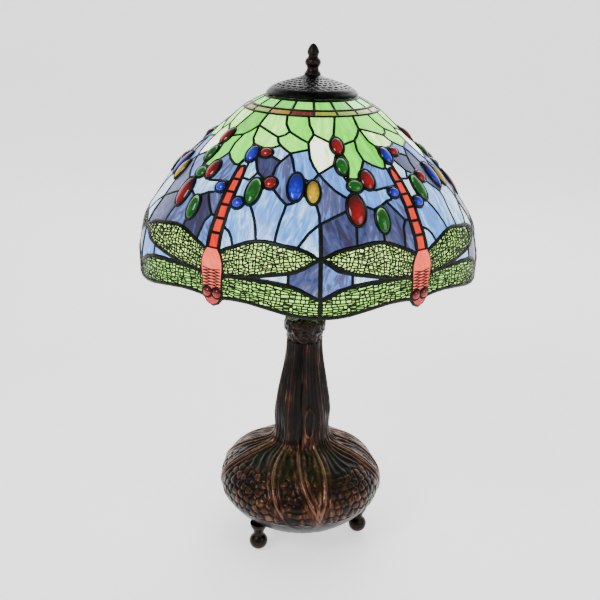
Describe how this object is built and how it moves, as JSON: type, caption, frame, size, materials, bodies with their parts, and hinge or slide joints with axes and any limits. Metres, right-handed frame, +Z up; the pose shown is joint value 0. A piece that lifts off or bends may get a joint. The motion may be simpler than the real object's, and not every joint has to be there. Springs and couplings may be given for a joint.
{
  "type": "stained glass table lamp",
  "caption": "Table lamp with a lobed leaded-glass dragonfly shade set with glass cabochons, on a sculpted bronze tree-root base with ball feet.",
  "frame": {"origin": "on the table surface, at the centre of the three feet, on the lamp's axis", "axes": "+Z up the lamp's axis, -Y towards the viewer in front"},
  "size_m": [0.4992, 0.4996, 0.789],
  "materials": {
    "amber_glass": "opalescent",
    "leaf_glass": "opalescent",
    "blue_glass": "streaky",
    "wing_glass": "streaky",
    "flame_glass": "opalescent",
    "red_jewel": "pressed",
    "green_jewel": "pressed",
    "blue_jewel": "pressed",
    "amber_jewel": "pressed",
    "leading": "patinated solder",
    "brass": "satin",
    "bulb_glass": "frosted",
    "cast_iron": "painted",
    "cover_felt": "felt",
    "bush_plastic": "moulded",
    "cap_bronze": "dark patina",
    "base_bronze": "brown patina"
  },
  "bodies": {
    "stand": {"base_casting": "base_bronze", "base_weight": "cast_iron", "bottom_cover": "cover_felt", "cap_washer": "brass", "centre_pipe": "brass", "cluster_body": "brass", "column": "base_bronze", "cord_bush": "bush_plastic", "foot_1": "base_bronze", "foot_2": "base_bronze", "foot_3": "base_bronze", "foot_studs": "brass", "heat_cap": "cap_bronze", "neck_collar": "base_bronze", "pipe_nut": "brass", "pipe_washer": "brass", "riser_pipe": "brass", "shade_wheel": "cast_iron", "socket_cap_1": "brass", "socket_cap_2": "brass", "socket_cap_3": "brass", "socket_shell_1": "brass", "socket_shell_2": "brass", "socket_shell_3": "brass", "wheel_nuts": "brass"},
    "shade": {"amber_jewels": "amber_jewel", "blue_jewels": "blue_jewel", "dragonfly_eyes": "red_jewel", "dragonfly_heads": "flame_glass", "dragonfly_tails": "flame_glass", "dragonfly_thoraxes": "flame_glass", "green_jewels": "green_jewel", "ground_glass_lower": "blue_glass", "ground_glass_upper": "blue_glass", "leading": "leading", "leaf_glass_lower": "leaf_glass", "leaf_glass_upper": "leaf_glass", "lower_wing_glass": "wing_glass", "red_jewels": "red_jewel", "rim_wire": "brass", "rope_band_glass": "amber_glass", "shade_ring": "brass", "top_border_glass": "amber_glass", "upper_wing_glass": "wing_glass"},
    "finial": {"finial": "cap_bronze"},
    "bulb_1": {"bulb_base_1": "brass", "bulb_glass_1": "bulb_glass"},
    "chain_1": {"pull_chain_1": "brass"},
    "bulb_2": {"bulb_base_2": "brass", "bulb_glass_2": "bulb_glass"},
    "chain_2": {"pull_chain_2": "brass"},
    "bulb_3": {"bulb_base_3": "brass", "bulb_glass_3": "bulb_glass"},
    "chain_3": {"pull_chain_3": "brass"}
  },
  "joints": [
    {"name": "shade_turn", "type": "hinge", "parent": "stand", "child": "shade", "pos_m": [0, 0, 0.7], "axis": [0, 0, 1], "continuous": true},
    {"name": "finial_turn", "type": "hinge", "parent": "stand", "child": "finial", "pos_m": [0, 0, 0.75], "axis": [0, 0, 1], "continuous": true},
    {"name": "bulb_1_screw", "type": "hinge", "parent": "stand", "child": "bulb_1", "pos_m": [0, 0, 0.42], "axis": [0.7094, -0.4096, 0.5736], "range_deg": [0, 720]},
    {"name": "chain_1_pull", "type": "slide", "parent": "stand", "child": "chain_1", "axis": [0, 0, -1], "range_m": [0, 0.008], "stiffness_N_per_m": 120, "springref_m": -0.002},
    {"name": "bulb_2_screw", "type": "hinge", "parent": "stand", "child": "bulb_2", "pos_m": [0, 0, 0.42], "axis": [0, 0.8192, 0.5736], "range_deg": [0, 720]},
    {"name": "chain_2_pull", "type": "slide", "parent": "stand", "child": "chain_2", "axis": [0, 0, -1], "range_m": [0, 0.008], "stiffness_N_per_m": 120, "springref_m": -0.002},
    {"name": "bulb_3_screw", "type": "hinge", "parent": "stand", "child": "bulb_3", "pos_m": [0, 0, 0.42], "axis": [-0.7094, -0.4096, 0.5736], "range_deg": [0, 720]},
    {"name": "chain_3_pull", "type": "slide", "parent": "stand", "child": "chain_3", "axis": [0, 0, -1], "range_m": [0, 0.008], "stiffness_N_per_m": 120, "springref_m": -0.002}
  ]
}
